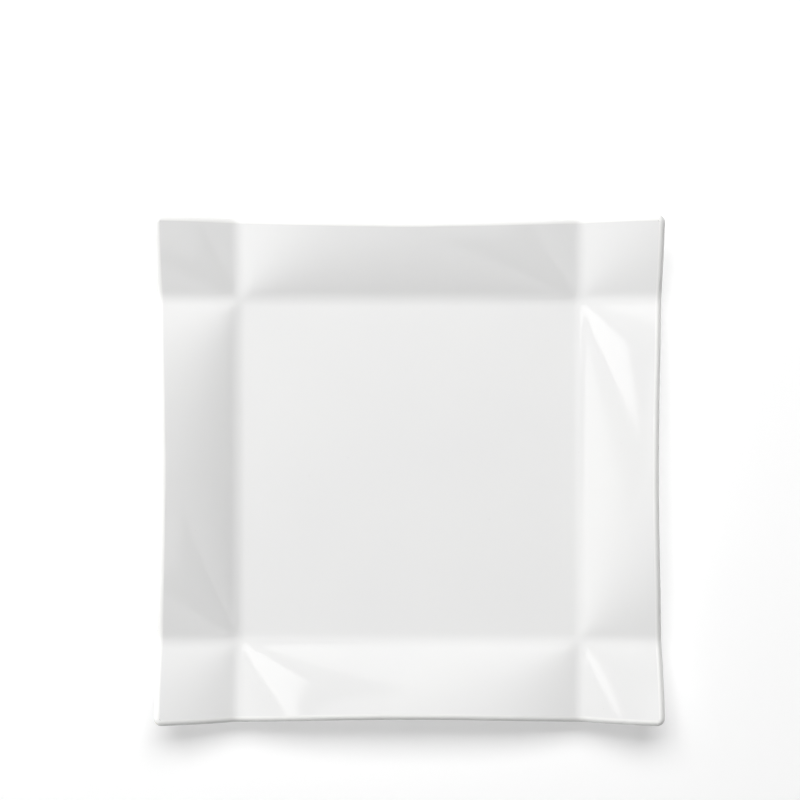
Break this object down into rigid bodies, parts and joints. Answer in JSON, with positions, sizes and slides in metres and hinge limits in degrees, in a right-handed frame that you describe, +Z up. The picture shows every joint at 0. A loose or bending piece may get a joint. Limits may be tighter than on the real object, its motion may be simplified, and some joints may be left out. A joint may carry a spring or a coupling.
{
  "type": "dinner plate",
  "caption": "Square porcelain dinner plate with a flat well and a wide rim creased into softly rising side panels and corner squares, glossy white glaze.",
  "frame": {"origin": "centre of the plate in the plane that its foot ring stands on", "axes": "+Z up out of the well, X and Y square to the sides"},
  "size_m": [0.27, 0.27, 0.024],
  "materials": {
    "bare_porcelain": "matt",
    "white_glaze": "gloss"
  },
  "bodies": {
    "root": {"porcelain_body": "bare_porcelain", "outer_glaze": "white_glaze", "recess_glaze": "white_glaze"}
  },
  "joints": []
}
